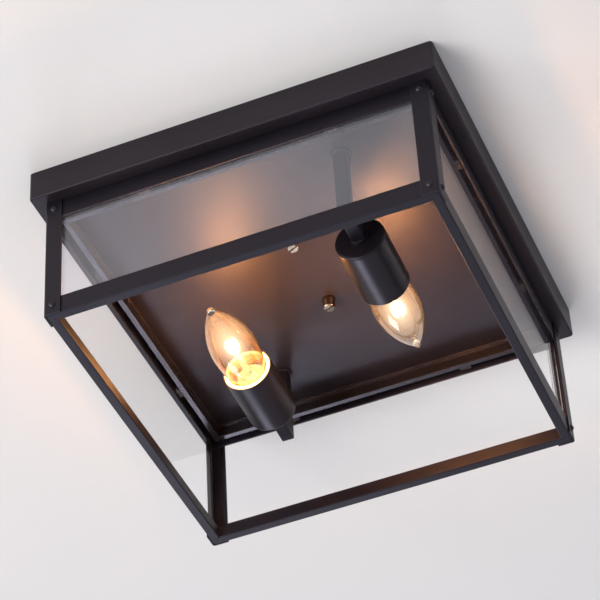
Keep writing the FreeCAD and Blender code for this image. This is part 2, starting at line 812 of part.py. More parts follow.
def arm_hardware():
    """Collars, hollow nipples, and the washers and nuts inside the pan."""
    frames = [arm_frame(angle) for side, angle in LAMPS]
    collar = new_body("collar_master")
    turn(collar, [
        ("nipple_radius + hole_play", "0"),
        ("nipple_radius + hole_play", "-collar_height"),
        ("collar_radius - collar_round", "-collar_height", "collar_round", -1),
        ("collar_radius", "-(collar_height - collar_round)"),
        ("collar_radius", "0"),
    ])
    low = Placement(Vector(0, 0, size("plate")), Rotation())
    pattern_of("arm_collars", collar, [frame * low for frame in frames])
    nipple = new_body("nipple_master")
    turn(nipple, [
        ("nipple_bore", "nipple_top"),
        ("nipple_bore", "arm_top - nipple_reach"),
        ("nipple_radius", "arm_top - nipple_reach"),
        ("nipple_radius", "nipple_top"),
    ])
    pattern_of("arm_nipples", nipple, frames)
    washer = new_body("washer_master")
    turn(washer, [
        ("nipple_radius + hole_play", "pan_floor_top"),
        ("washer_radius", "pan_floor_top"),
        ("washer_radius", "nut_base"),
        ("nipple_radius + hole_play", "nut_base"),
    ])
    nut = hex_nut("arm_nut_master", "nut_across_flats", "nut_height", "nipple_radius + thread_play")
    seat = Placement(Vector(0, 0, size("nut_base")), Rotation())
    del parts[washer.Label]
    del parts[nut.Label]
    shapes = Part.makeCompound([washer.Shape, nut.Shape.transformed(seat.toMatrix())])
    group_of("arm_nuts", shapes, frames)


def hex_nut(label, flats, height, bore):
    """A hexagon nut standing on its own origin."""
    body = new_body(label)
    outer = new_sketch(body, "XY_Plane")
    corner = flats + " / sqrt(3)"
    points = []
    for step in range(6):
        turned = "%d deg" % (60 * step)
        points.append((corner + " * cos(" + turned + ")", corner + " * sin(" + turned + ")"))
    outline(outer, points)
    pad(body, outer, height)
    hole = new_sketch(body, "XY_Plane")
    circles(hole, [("0", "0")], bore)
    cut(body, hole, backwards=True)
    return body


# --------------------------------------------------------------------------- sockets
def socket_hubs():
    """Round hubs between the arms and the covers."""
    hub = new_body("hub_master")
    front = "-cover_length"
    back = "-(cover_length + hub_length)"
    turn(hub, [
        ("neck_radius + thread_play", front),
        ("neck_radius + thread_play", back),
        ("hub_radius - collar_round", back, "collar_round", -1),
        ("hub_radius", back + " + collar_round"),
        ("hub_radius", front),
    ])
    pattern_of("socket_hubs", hub, [mouth_frame(angle) for side, angle in LAMPS])


def socket_nipples():
    """Hollow threaded necks from inside the arm to inside the insulator."""
    neck = new_body("neck_master")
    back = "-(cover_length + hub_length + neck_inside_arm)"
    turn(neck, [
        ("neck_bore", back),
        ("neck_radius", back),
        ("neck_radius", "-(neck_front)"),
        ("neck_bore", "-(neck_front)"),
    ])
    pattern_of("socket_nipples", neck, [mouth_frame(angle) for side, angle in LAMPS])


def socket_cover(side, angle):
    """Thin cylinder cover with a closed, rounded back."""
    body = new_body("socket_cover_" + side)
    back = "-cover_length"
    inner = "cover_radius - cover_wall"
    inner_round = "cover_round - cover_wall"
    turn(body, [
        ("neck_radius + hole_play", back),
        ("cover_radius - cover_round", back, "cover_round", -1),
        ("cover_radius", back + " + cover_round"),
        ("cover_radius", "0"),
        (inner, "0"),
        (inner, back + " + cover_round", inner_round, 1),
        ("cover_radius - cover_round", back + " + cover_wall"),
        ("neck_radius + hole_play", back + " + cover_wall"),
    ])
    body.Placement = mouth_frame(angle)


def socket_insulator(side, angle):
    """Porcelain cup with a plain rim, and a boss that seats on the cover's back."""
    body = new_body("socket_insulator_" + side)
    edge = "insulator_edge"
    turn(body, [
        ("insulator_rim_bore", "-" + edge),
        ("insulator_rim_bore + " + edge, "0"),
        ("insulator_radius - " + edge, "0"),
        ("insulator_radius", "-" + edge),
        ("insulator_radius", "-(insulator_depth - 2 * " + edge + ")"),
        ("insulator_radius - 2 * " + edge, "-(insulator_depth)"),
        ("insulator_boss", "-(insulator_depth)"),
        ("insulator_boss", "-(boss_end)"),
        ("neck_radius + thread_play", "-(boss_end)"),
        ("neck_radius + thread_play", "-(neck_front)"),
        ("0", "-(neck_front)"),
        ("0", "-(insulator_floor)"),
        ("insulator_bore", "-(insulator_floor)"),
        ("insulator_bore", "-insulator_rim_depth"),
        ("insulator_rim_bore", "-insulator_rim_depth"),
    ])
    body.Placement = mouth_frame(angle)


def screw_shells():
    """Brass shells that take the lamp's cap."""
    shell = new_body("shell_master")
    turn(shell, [
        ("shell_bore", "-shell_recess"),
        ("shell_radius", "-shell_recess"),
        ("shell_radius", "-(insulator_floor)"),
        ("shell_floor_bore", "-(insulator_floor)"),
        ("shell_floor_bore", "-(insulator_floor - shell_wall)"),
        ("shell_bore", "-(insulator_floor - shell_wall)"),
    ])
    pattern_of("screw_shells", shell, [mouth_frame(angle) for side, angle in LAMPS])


def centre_contacts():
    """Domed spring contacts on the floor of each insulator."""
    contact = new_body("contact_master")
    turn(contact, [
        ("0", "-(insulator_floor)"),
        ("contact_radius", "-(insulator_floor)"),
        ("contact_radius", "-(insulator_floor) + contact_leaf"),
        ("contact_round", "-(contact_tip)"),
        ("0", "-(contact_tip)"),
    ])
    pattern_of("centre_contacts", contact, [mouth_frame(angle) for side, angle in LAMPS])


# --------------------------------------------------------------------------- lamps
def lamp_glass(side, angle):
    """Thin torpedo envelope of two arcs and a small nose."""
    body = new_body("lamp_glass_" + side)
    turn(body, [
        ("lamp_neck_radius", "-lamp_neck_place", "lamp_neck_arc", -1),
        ("lamp_bulge_radius", "lamp_bulge_place", "lamp_nose_arc", -1),
        ("lamp_tip_radius", "lamp_tip_place", "lamp_tip_radius", -1),
        ("0", "lamp_end"),
        ("0", "lamp_tip_inner"),
        ("lamp_tip_radius", "lamp_tip_inner", "lamp_nose_inner_arc", 1),
        ("lamp_bulge_inner", "lamp_bulge_place", "lamp_neck_inner_arc", 1),
        ("lamp_neck_inner", "-lamp_neck_place"),
    ])
    body.Placement = mouth_frame(angle)


def lamp_cap(side, angle):
    """Screw cap: a thin cup crimped on the glass, tapered to a hole at its end."""
    body = new_body("lamp_cap_" + side)
    turn(body, [
        ("cap_radius", "-cap_top"),
        ("cap_radius", "-cap_bottom"),
        ("cap_hole", "-(cap_bottom + cap_taper)"),
        ("cap_hole", "-(cap_bottom + cap_taper - cap_wall)"),
        ("cap_inner", "-(cap_bottom - cap_wall)"),
        ("cap_inner", "-cap_top"),
    ])
    body.Placement = mouth_frame(angle)


def lamp_insulator(side, angle):
    """Black glass disc between the cap and the tip contact."""
    body = new_body("lamp_insulator_" + side)
    turn(body, [
        ("button_stem + button_play", "-(cap_bottom - cap_wall)"),
        ("cap_hole - button_play", "-(cap_bottom - cap_wall)"),
        ("cap_hole - button_play", "-(cap_bottom + cap_taper)"),
        ("button_radius + button_rim", "-(button_place - face_play)"),
        ("button_stem + button_play", "-(button_place - face_play)"),
    ])
    body.Placement = mouth_frame(angle)


def lamp_contact(side, angle):
    """Solder button at the tip of the cap, with its stem."""
    body = new_body("lamp_contact_" + side)
    turn(body, [
        ("0", "-cap_bottom"),
        ("button_stem", "-cap_bottom"),
        ("button_stem", "-(button_place)"),
        ("button_radius", "-(button_place)"),
        ("button_nose", "-(button_tip)"),
        ("0", "-(button_tip)"),
    ])
    body.Placement = mouth_frame(angle)


def lamp_stem(side, angle):
    """Glass stem that carries the filament, flared out to the neck."""
    body = new_body("lamp_stem_" + side)
    flare = "lamp_neck_place - stem_flare_thickness"
    turn(body, [
        ("0", "-lamp_neck_place"),
        ("stem_flare", "-lamp_neck_place"),
        ("stem_flare", "-(" + flare + ")"),
        ("stem_foot_radius", "-(" + flare + ")"),
        ("stem_radius", "-(" + flare + ") + stem_taper"),
        ("stem_top_radius", "stem_end"),
        ("0", "stem_end"),
    ])
    body.Placement = mouth_frame(angle)


def lamp_filament(side, angle):
    """Two support wires out of the stem and the filament looped between their ends."""
    wire = size("support_radius")
    bend = size("support_bend")
    spread = size("support_spread")
    top = size("filament_place")
    shapes = []
    for sign in (-1, 1):
        foot = sign * size("support_foot")
        points = [
            Vector(foot, 0, size("stem_end")),
            Vector(foot, 0, size("stem_end + support_rise")),
            Vector(sign * spread, 0, top - size("support_end")),
            Vector(sign * spread, 0, top),
        ]
        shapes.append(round_tube(points, wire, (bend, bend)))
    crown = top + size("filament_rise")
    first = Vector(-spread, 0, top)
    arc = Part.Arc(first, Vector(0, 0, crown), Vector(spread, 0, top))
    start = arc.tangent(arc.FirstParameter)[0]
    rim = Part.Wire([Part.Circle(first, start, size("filament_radius")).toShape()])
    shapes.append(Part.Wire([arc.toShape()]).makePipeShell([rim], True, False))
    filament = doc.addObject("Part::Feature", "lamp_filament_" + side)
    filament.Label = "lamp_filament_" + side
    filament.Shape = shapes[0].multiFuse(shapes[1:])
    filament.Placement = mouth_frame(angle)
    parts[filament.Label] = filament


def round_tube(points, radius, bends):
    """A round bar along straight runs, with a tangent arc of the given radius at each corner."""
    edges = []
    start = points[0]
    for before, corner, after, bend in zip(points, points[1:], points[2:], bends):
        back = (before - corner).normalize()
        ahead = (after - corner).normalize()
        half_angle = back.getAngle(ahead) / 2
        room = 0.45 * min((before - corner).Length, (after - corner).Length)
        trim = min(bend / math.tan(half_angle), room)
        arc_radius = trim * math.tan(half_angle)
        inward = (back + ahead).normalize() * (arc_radius / math.sin(half_angle) - arc_radius)
        first = corner + back * trim
        last = corner + ahead * trim
        edges.append(Part.LineSegment(start, first).toShape())
        edges.append(Part.Arc(first, corner + inward, last).toShape())
        start = last
    edges.append(Part.LineSegment(start, points[-1]).toShape())
    circle = Part.Circle(points[0], points[1] - points[0], radius)
    return Part.Wire(edges).makePipeShell([Part.Wire([circle.toShape()])], True, False)


# --------------------------------------------------------------------------- mounting
def mounting_strap():
    """Flat crossbar with two free slots for the ceiling box and three tapped holes."""
    body = new_body("mounting_strap")
    bar = new_sketch(body, "XY_Plane")
    half_width = "strap_width / 2"
    half_length = "strap_length / 2"
    rectangle(bar, "-" + half_width, half_width, "-" + half_length, half_length)
    pad(body, bar, "strap_thickness", downwards=True)
    round_edges(body, "strap_round", upright)
    tapped = new_sketch(body, "XY_Plane")
    circles(tapped, [("0", "stud_half"), ("0", "-stud_half")], "stud_radius + thread_play")
    circles(tapped, [("0", "ground_place")], "ground_radius + thread_play")
    cut(body, tapped)
    slots = new_sketch(body, "XY_Plane")
    for middle in ("-slot_spacing / 2", "slot_spacing / 2"):
        long_slot(slots, middle, "slot_length", "slot_width")
    cut(body, slots)


def mounting_studs():
    """Two threaded studs down from the strap, through the pan's floor."""
    stud = new_body("stud_master")
    turn(stud, [
        ("0", "0"),
        ("stud_radius", "0"),
        ("stud_radius", "-(stud_end - stud_chamfer)"),
        ("stud_radius - stud_chamfer", "-stud_end"),
        ("0", "-stud_end"),
    ])
    pattern_of("mounting_studs", stud, stud_places("0"))
    nut = hex_nut("lock_nut_master", "lock_nut_flats", "lock_nut_height", "stud_radius + thread_play")
    pattern_of("stud_lock_nuts", nut, stud_places("-(strap_thickness + lock_nut_height)"))


def stud_places(height):
    """The places of the two studs at a height."""
    level = size(height)
    half = size("stud_half")
    return [Placement(Vector(0, y, level), Rotation()) for y in (-half, half)]


def ground_screw():
    """Green screw in the strap for the ground wire."""
    body = new_body("ground_screw")
    seat = "-(strap_thickness + ground_gap)"
    turn(body, [
        ("0", "0"),
        ("ground_radius", "0"),
        ("ground_radius", seat),
        ("ground_head", seat),
        ("ground_head", seat + " - ground_head_side"),
        ("ground_head_top", seat + " - ground_head_height"),
        ("0", seat + " - ground_head_height"),
    ])
    body.Placement = Placement(Vector(0, size("ground_place"), 0), Rotation())


def barrel_nut(label, sign):
    """Slotted round nut under the plate, which screws on its stud."""
    body = new_body("barrel_nut_" + label)
    top = "barrel_top"
    low = "barrel_top - barrel_length"
    turn(body, [
        ("barrel_bore", top),
        ("barrel_bore", top + " - barrel_bore_depth"),
        ("0", top + " - barrel_bore_depth"),
        ("0", low),
        ("barrel_radius - barrel_edge", low),
        ("barrel_radius", low + " + barrel_edge"),
        ("barrel_radius", top),
    ])
    slot = new_sketch(body, "XY_Plane", low)
    half = "barrel_slot_width / 2"
    span = "barrel_radius + cut_margin"
    rectangle(slot, "-(" + span + ")", span, "-" + half, half)
    cut(body, slot, "barrel_slot_depth", backwards=True)
    turned = Rotation(Vector(0, 0, 1), size("barrel_slot_turn"))
    body.Placement = Placement(Vector(0, sign * size("stud_half"), 0), turned)


def barrel_washer(label, sign):
    """Flat washer between a barrel nut and the plate."""
    body = new_body("barrel_washer_" + label)
    turn(body, [
        ("stud_hole", "barrel_washer_top"),
        ("stud_hole", "barrel_washer_top - barrel_washer"),
        ("barrel_washer_radius", "barrel_washer_top - barrel_washer"),
        ("barrel_washer_radius", "barrel_washer_top"),
    ])
    body.Placement = Placement(Vector(0, sign * size("stud_half"), 0), Rotation())


# --------------------------------------------------------------------------- assembly
def build():
    """Make every sub-part."""
    ceiling_pan()
    pan_rivets()
    for side, angle in SIDES:
        top_rail(side, angle)
        bottom_rail(side, angle)
        glass_stop(side, angle)
        glass_pane(side, angle)
    for corner, angle in CORNERS:
        corner_post(corner, angle)
    stop_blocks()
    post_screws()
    for side, angle in LAMPS:
        lamp_arm(side, angle)
        socket_cover(side, angle)
        socket_insulator(side, angle)
        lamp_glass(side, angle)
        lamp_cap(side, angle)
        lamp_insulator(side, angle)
        lamp_contact(side, angle)
        lamp_stem(side, angle)
        lamp_filament(side, angle)
    arm_hardware()
    socket_hubs()
    socket_nipples()
    screw_shells()
    centre_contacts()
    mounting_strap()
    mounting_studs()
    ground_screw()
    for label, sign in (("near", -1), ("far", 1)):
        barrel_nut(label, sign)
        barrel_washer(label, sign)


def check_and_write():
    """Stop on any failed object or bad shape, then write one file for each sub-part."""
    doc.recompute()
    for item in doc.Objects:
        if "Invalid" in item.State or "Error" in item.State:
            raise RuntimeError("failed object: " + item.Label)
    for label, item in parts.items():
        if item.Shape.isNull() or not item.Shape.isValid():
            raise RuntimeError("bad shape: " + label)
    os.makedirs("parts", exist_ok=True)
    for label, item in parts.items():
        item.Shape.exportStep(os.path.join("parts", label + ".step"))
        solids = len(item.Shape.Solids)
        print("%-26s %2d solid(s) %10.1f mm3" % (label, solids, item.Shape.Volume))
    print(len(parts), "sub-parts")


build()
check_and_write()
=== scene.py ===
"""Looks of the porch ceiling lantern, in metres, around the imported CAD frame.

The ceiling is the plane z = 0 and the lantern hangs below it. The camera looks up at it from
the near side (-Y), as in the photograph.
"""
import json
import math
from functools import partial

import bmesh
import bpy
from mathutils import Matrix, Vector


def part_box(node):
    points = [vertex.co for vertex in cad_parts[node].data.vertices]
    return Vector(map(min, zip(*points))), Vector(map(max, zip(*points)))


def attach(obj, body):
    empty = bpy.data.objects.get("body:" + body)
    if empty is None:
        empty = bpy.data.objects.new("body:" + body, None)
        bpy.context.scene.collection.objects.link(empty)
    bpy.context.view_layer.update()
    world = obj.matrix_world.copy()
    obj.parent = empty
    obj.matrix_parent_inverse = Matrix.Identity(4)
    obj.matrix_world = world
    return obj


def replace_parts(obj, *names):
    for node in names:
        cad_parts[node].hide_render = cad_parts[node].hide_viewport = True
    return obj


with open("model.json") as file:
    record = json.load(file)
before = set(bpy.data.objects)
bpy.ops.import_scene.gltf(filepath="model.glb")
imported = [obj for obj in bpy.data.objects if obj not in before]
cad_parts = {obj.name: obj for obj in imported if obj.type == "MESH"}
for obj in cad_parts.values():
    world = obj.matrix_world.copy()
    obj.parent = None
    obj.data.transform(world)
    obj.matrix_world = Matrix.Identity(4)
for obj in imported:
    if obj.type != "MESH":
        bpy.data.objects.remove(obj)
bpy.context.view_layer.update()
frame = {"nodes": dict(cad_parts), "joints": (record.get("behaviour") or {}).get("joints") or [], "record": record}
NODES = frame["nodes"]
SIDES = ("right", "left")
MM = 0.001

# --------------------------------------------------------------------------- photograph's view
PHOTO_SIDE = 600                      # pixels
FOCAL_PIXELS = 2640.5
SENSOR = 36.0                         # millimetres
CAMERA_PLACE = Vector((0.4716, -1.3306, -1.3336))
CAMERA_FORWARD = Vector((-0.25203, 0.69662, 0.67171))
CAMERA_RIGHT = Vector((0.92379, 0.37995, -0.04742))


def add_camera():
    """The camera that solves the photograph's straight edges."""
    data = bpy.data.cameras.new("camera")
    data.sensor_width = SENSOR
    data.lens = FOCAL_PIXELS / PHOTO_SIDE * SENSOR
    data.clip_end = 50
    camera = bpy.data.objects.new("camera", data)
    back = -CAMERA_FORWARD.normalized()
    up = back.cross(CAMERA_RIGHT).normalized()
    right = up.cross(back)
    turn = Matrix((right, up, back)).transposed().to_4x4()
    camera.matrix_world = Matrix.Translation(CAMERA_PLACE) @ turn
    bpy.context.scene.collection.objects.link(camera)
    bpy.context.scene.camera = camera


# --------------------------------------------------------------------------- node helpers
class Tree:
    """A material's node tree with short calls for the nodes used here."""

    def __init__(self, name):
        self.material = bpy.data.materials.new(name)
        self.material.use_nodes = True
        self.nodes = self.material.node_tree.nodes
        self.links = self.material.node_tree.links
        self.shader = self.nodes["Principled BSDF"]
        self.output = self.nodes["Material Output"]
        self.place = self.add("ShaderNodeTexCoord").outputs["Object"]

    def add(self, kind, **settings):
        """A new node with its properties set."""
        node = self.nodes.new(kind)
        for key, value in settings.items():
            setattr(node, key, value)
        return node

    def feed(self, node, socket, value):
        """Link an output into a socket, or set the socket's own value."""
        target = node.inputs[socket]
        if isinstance(value, bpy.types.NodeSocket):
            self.links.new(value, target)
            return
        own = target.default_value
        if hasattr(own, "__len__") and len(value) == 3 and len(own) == 4:
            target.default_value = (*value, 1)
        else:
            target.default_value = value

    def set(self, **values):
        """Set or link sockets of the main shader; underscores stand for spaces."""
        for key, value in values.items():
            self.feed(self.shader, key.replace("_", " "), value)

    def noise(self, scale, detail=3, roughness=0.5, stretch=None):
        """Noise over the row frame, in waves per metre."""
        node = self.add("ShaderNodeTexNoise")
        self.feed(node, "Scale", scale)
        self.feed(node, "Detail", detail)
        self.feed(node, "Roughness", roughness)
        place = self.place
        if stretch:
            place = self.stretched(stretch)
        self.feed(node, "Vector", place)
        return node.outputs["Fac"]

    def stretched(self, factors):
        """The row frame's coordinates multiplied along each axis."""
        node = self.add("ShaderNodeMapping")
        self.feed(node, "Vector", self.place)
        self.feed(node, "Scale", factors)
        return node.outputs["Vector"]

    def ramp(self, value, low, high, start=0.0, end=1.0):
        """Map a value from [start, end] to [low, high], clamped."""
        node = self.add("ShaderNodeMapRange", clamp=True)
        self.feed(node, "Value", value)
        self.feed(node, "From Min", start)
        self.feed(node, "From Max", end)
        self.feed(node, "To Min", low)
        self.feed(node, "To Max", high)
        return node.outputs["Result"]

    def mix(self, factor, first, second):
        """Blend two colours."""
        node = self.add("ShaderNodeMix", data_type="RGBA")
        self.feed(node, "Factor", factor)
        for index, value in ((6, first), (7, second)):
            if isinstance(value, bpy.types.NodeSocket):
                self.links.new(value, node.inputs[index])
            else:
                node.inputs[index].default_value = (*value, 1)
        return node.outputs[2]

    def math(self, operation, first, second=0.0):
        """One sum on two values."""
        node = self.add("ShaderNodeMath", operation=operation)
        self.feed(node, 0, first)
        self.feed(node, 1, second)
        return node.outputs[0]

    def bump(self, height, distance, strength=1.0, normal=None):
        """Bump from a height in metres."""
        node = self.add("ShaderNodeBump")
        self.feed(node, "Height", height)
        self.feed(node, "Distance", distance)
        self.feed(node, "Strength", strength)
        if normal is not None:
            self.feed(node, "Normal", normal)
        return node.outputs["Normal"]

    def rounded(self, radius):
        """A normal that rounds sharp edges."""
        bevel = self.add("ShaderNodeBevel", samples=6)
        self.feed(bevel, "Radius", radius)
        return bevel.outputs["Normal"]

    def edge_mask(self, normal):
        """1 on the edges that a rounded normal bends, 0 elsewhere."""
        geometry = self.add("ShaderNodeNewGeometry")
        dot = self.add("ShaderNodeVectorMath", operation="DOT_PRODUCT")
        self.feed(dot, 0, normal)
        self.feed(dot, 1, geometry.outputs["Normal"])
        return self.ramp(dot.outputs["Value"], 1.0, 0.0, 0.80, 0.985)

    def clear_to_lamps(self, tint=(1, 1, 1)):
        """Let light rays straight through, so that what the glass shuts in is lit."""
        path = self.add("ShaderNodeLightPath")
        clear = self.add("ShaderNodeBsdfTransparent")
        self.feed(clear, "Color", tint)
        choice = self.add("ShaderNodeMixShader")
        self.links.new(path.outputs["Is Shadow Ray"], choice.inputs[0])
        self.links.new(self.shader.outputs[0], choice.inputs[1])
        self.links.new(clear.outputs[0], choice.inputs[2])
        self.links.new(choice.outputs[0], self.output.inputs["Surface"])


# --------------------------------------------------------------------------- materials
BORE_RADIUS = 15.1 * MM
BORE_BLEND = 0.4 * MM                 # how far the painted shade in the bore fades at its edge
SHEEN_TINT = (1.0, 0.86, 1.0)         # the paint's sheen is a little purple


def lamp_matrix(side):
    """The frame at a socket's mouth: +Z out of it along the lamp's axis."""
    joint = [item for item in frame["joints"] if item["name"] == "lamp_turn_" + side][0]
    out = Vector(joint["axis"]).normalized()
    down = Vector((0, 0, -1))
    across = down.cross(out).normalized()
    turn = Matrix((across, down, out)).transposed().to_4x4()
    return Matrix.Translation(Vector(joint["pos_m"])) @ turn


def black_paint(name, colour, edge_wear_and_highlight_colour, roughness, specular=0.45):
    """Satin powder coat: fine orange peel, faint cloudiness, and lighter edges that are partly thin-coat wear and
    partly a painted highlight.
    """
    tree = Tree(name)
    normal = tree.rounded(0.45 * MM)
    edge = tree.edge_mask(normal)
    cloud = tree.noise(14, detail=4)
    lighter = tuple(c * 1.4 for c in colour)
    coat = tree.mix(tree.ramp(cloud, 0, 1, 0.35, 0.65), colour, lighter)
    chips = tree.ramp(tree.noise(420, detail=4, roughness=0.7), 0, 1, 0.45, 0.62)
    # Painted highlight: the edges get a lighter colour, broken by chips, partly thin-coat wear and partly painted
    # highlight.
    edge_wear_and_highlight = tree.math("MULTIPLY", edge, tree.math("MULTIPLY_ADD", chips, 0.55))
    tree.set(Base_Color=tree.mix(edge_wear_and_highlight, coat, edge_wear_and_highlight_colour))
    grain = tree.noise(900, detail=2)
    smear = tree.ramp(tree.noise(9, detail=5, roughness=0.65), -0.05, 0.07, 0.3, 0.7)
    fine = tree.ramp(grain, roughness - 0.03, roughness + 0.03)
    tree.set(Roughness=tree.math("ADD", smear, fine))
    tree.set(Normal=tree.bump(grain, 0.012 * MM, normal=normal))
    tree.set(Specular_IOR_Level=specular, Specular_Tint=(*SHEEN_TINT, 1.0))
    return tree.material


def plated_steel(name, colour, roughness):
    """Zinc plate: soft spangle, faint yellow cast and fine scratches."""
    tree = Tree(name)
    normal = tree.rounded(0.2 * MM)
    spangle = tree.ramp(tree.noise(160, detail=3), 0, 1, 0.3, 0.7)
    cast = tuple(c * f for c, f in zip(colour, (0.92, 0.84, 0.66)))
    tree.set(Base_Color=tree.mix(spangle, colour, cast), Metallic=1.0)
    scratch = tree.noise(300, detail=4, stretch=(1, 14, 14))
    tree.set(Roughness=tree.ramp(scratch, roughness - 0.08, roughness + 0.12, 0.3, 0.7))
    tree.set(Normal=tree.bump(scratch, 0.02 * MM, 0.6, normal))
    return tree.material


def brass(name, colour, tarnish, roughness):
    """Pressed brass: tarnish clouds and drawing marks."""
    tree = Tree(name)
    normal = tree.rounded(0.15 * MM)
    cloud = tree.ramp(tree.noise(90, detail=5, roughness=0.6), 0, 1, 0.38, 0.68)
    tree.set(Base_Color=tree.mix(cloud, colour, tarnish), Metallic=1.0)
    marks = tree.noise(700, detail=3)
    tree.set(Roughness=tree.ramp(marks, roughness - 0.06, roughness + 0.1, 0.3, 0.7))
    tree.set(Normal=tree.bump(marks, 0.01 * MM, 0.7, normal))
    return tree.material


def porcelain(name, side):
    """Glazed cream porcelain with fine specks, and a painted brown shade on the wall of its bore."""
    tree = Tree(name)
    normal = tree.rounded(0.35 * MM)
    speck = tree.ramp(tree.noise(1500, detail=1), 0, 1, 0.70, 0.76)
    tone = tree.mix(tree.noise(60, detail=3), (0.80, 0.72, 0.56), (0.74, 0.65, 0.48))
    tone = tree.mix(speck, tone, (0.42, 0.34, 0.24))
    mouth = lamp_matrix(side)
    middle = mouth.to_translation()
    out = mouth.to_3x3() @ Vector((0, 0, 1))
    from_mouth = tree.add("ShaderNodeVectorMath", operation="SUBTRACT")
    tree.feed(from_mouth, 0, tree.place)
    tree.feed(from_mouth, 1, tuple(middle))
    across = tree.add("ShaderNodeVectorMath", operation="CROSS_PRODUCT")
    tree.feed(across, 0, from_mouth.outputs["Vector"])
    tree.feed(across, 1, tuple(out))
    radius = tree.add("ShaderNodeVectorMath", operation="LENGTH")
    tree.feed(radius, 0, across.outputs["Vector"])
    # Painted shade: the bore's wall, round the lamp's axis, is darkened to brown.
    bore_shade_mask = tree.ramp(radius.outputs["Value"], 1.0, 0.0, BORE_RADIUS, BORE_RADIUS + BORE_BLEND)
    bore_shade = tree.mix(tree.noise(180, detail=3), (0.30, 0.16, 0.05), (0.20, 0.10, 0.03))
    tree.set(Base_Color=tree.mix(bore_shade_mask, tone, bore_shade))
    tree.set(Roughness=tree.ramp(tree.noise(240), 0.16, 0.28), Subsurface_Weight=0.08)
    tree.set(Subsurface_Radius=(0.003, 0.002, 0.0012))
    tree.set(Normal=tree.bump(tree.noise(200), 0.03 * MM, normal=normal))
    return tree.material


def window_glass(name, film, weight, index):
    """Clear float glass, slightly wavy, with a thin film of dust."""
    tree = Tree(name)
    paler = tuple(min(1.0, c * 1.06) for c in film)
    tree.set(Base_Color=tree.mix(tree.noise(24, detail=4), film, paler))
    tree.set(Transmission_Weight=weight, IOR=index)
    tree.set(Roughness=tree.ramp(tree.noise(11, detail=3), 0.0, 0.02, 0.35, 0.75))
    tree.set(Normal=tree.bump(tree.noise(16, detail=1), 0.05 * MM))
    tree.clear_to_lamps((0.99, 0.99, 0.99))
    return tree.material


def lamp_glass():
    """Thin blown glass, faintly amber, with soft draw lines."""
    tree = Tree("lamp_glass")
    amber = tree.mix(tree.noise(70, detail=2), (1.0, 0.90, 0.76), (1.0, 0.95, 0.84))
    tree.set(Base_Color=amber, Roughness=0.0, Transmission_Weight=0.996, IOR=1.47)
    ripple = tree.noise(45, detail=2, stretch=(1, 0.35, 1))
    tree.set(Normal=tree.bump(ripple, 0.22 * MM))
    tree.clear_to_lamps((1.0, 0.96, 0.90))
    return tree.material


def stem_glass():
    """Pressed glass stem, a little cloudy at the pinch."""
    tree = Tree("stem_glass")
    tree.set(Base_Color=(0.97, 0.94, 0.88), Transmission_Weight=0.9, IOR=1.5)
    tree.set(Roughness=tree.ramp(tree.noise(300), 0.05, 0.3, 0.35, 0.7))
    tree.clear_to_lamps()
    return tree.material


def plain_plastic(name, colour, second, roughness, grain_scale=500):
    """Moulded plastic: two close tones and a fine texture."""
    tree = Tree(name)
    normal = tree.rounded(0.25 * MM)
    tree.set(Base_Color=tree.mix(tree.ramp(tree.noise(70), 0, 1, 0.35, 0.65), colour, second))
    grain = tree.noise(grain_scale, detail=2)
    tree.set(Roughness=tree.ramp(grain, roughness - 0.06, roughness + 0.08))
    tree.set(Normal=tree.bump(grain, 0.02 * MM, normal=normal))
    return tree.material


def glowing(name, colour, strength):
    """A hot filament of slightly uneven wire."""
    tree = Tree(name)
    tree.set(Base_Color=(0.25, 0.2, 0.16), Metallic=1.0)
    tree.set(Roughness=tree.ramp(tree.noise(900), 0.35, 0.6))
    tree.set(Emission_Color=colour, Emission_Strength=strength)
    return tree.material


def glow_volume(name, colour, strength):
    """Light that hangs round a hot filament: a clear body that only adds light."""
    tree = Tree(name)
    tree.nodes.remove(tree.shader)
    emission = tree.add("ShaderNodeEmission")
    tree.feed(emission, "Color", colour)
    tree.feed(emission, "Strength", strength)
    tree.links.new(emission.outputs[0], tree.output.inputs["Volume"])
    return tree.material


# Each black paint's second colour is its lighter edge: thin-coat wear and a painted highlight.
MATERIALS = {
    "pan_paint": black_paint(
        "pan_paint", (0.0095, 0.0075, 0.0095), (0.05, 0.044, 0.052), 0.44, 0.32),
    "frame_paint": black_paint(
        "frame_paint", (0.0034, 0.0028, 0.0050), (0.055, 0.050, 0.064), 0.46, 0.31),
    "screw_black": black_paint("screw_black", (0.008, 0.007, 0.010), (0.06, 0.056, 0.06), 0.30),
    "rivet_black": black_paint("rivet_black", (0.008, 0.007, 0.009), (0.05, 0.05, 0.05), 0.35),
    "block_black": plain_plastic("block_black", (0.003, 0.003, 0.004), (0.006, 0.005, 0.007), 0.75),
    "zinc_steel": plated_steel("zinc_steel", (0.62, 0.62, 0.60), 0.34),
    "barrel_brass": brass("barrel_brass", (0.33, 0.26, 0.20), (0.14, 0.10, 0.07), 0.17),
    "brass": brass("brass", (0.80, 0.56, 0.22), (0.50, 0.30, 0.10), 0.24),
    "pane_glass": window_glass("pane_glass", (0.86, 0.88, 0.97), 0.965, 1.5),
    "lamp_glass": lamp_glass(),
    "stem_glass": stem_glass(),
    "cap_metal": brass("cap_metal", (0.74, 0.58, 0.32), (0.50, 0.36, 0.18), 0.22),
    "black_glass": plain_plastic("black_glass", (0.012, 0.012, 0.014), (0.02, 0.02, 0.024), 0.12),
    "solder": plated_steel("solder", (0.66, 0.66, 0.66), 0.40),
    "filament_metal": glowing("filament_metal", (1.0, 0.62, 0.28), 60.0),
    "ground_green": black_paint("ground_green", (0.02, 0.20, 0.06), (0.35, 0.36, 0.30), 0.35),
}
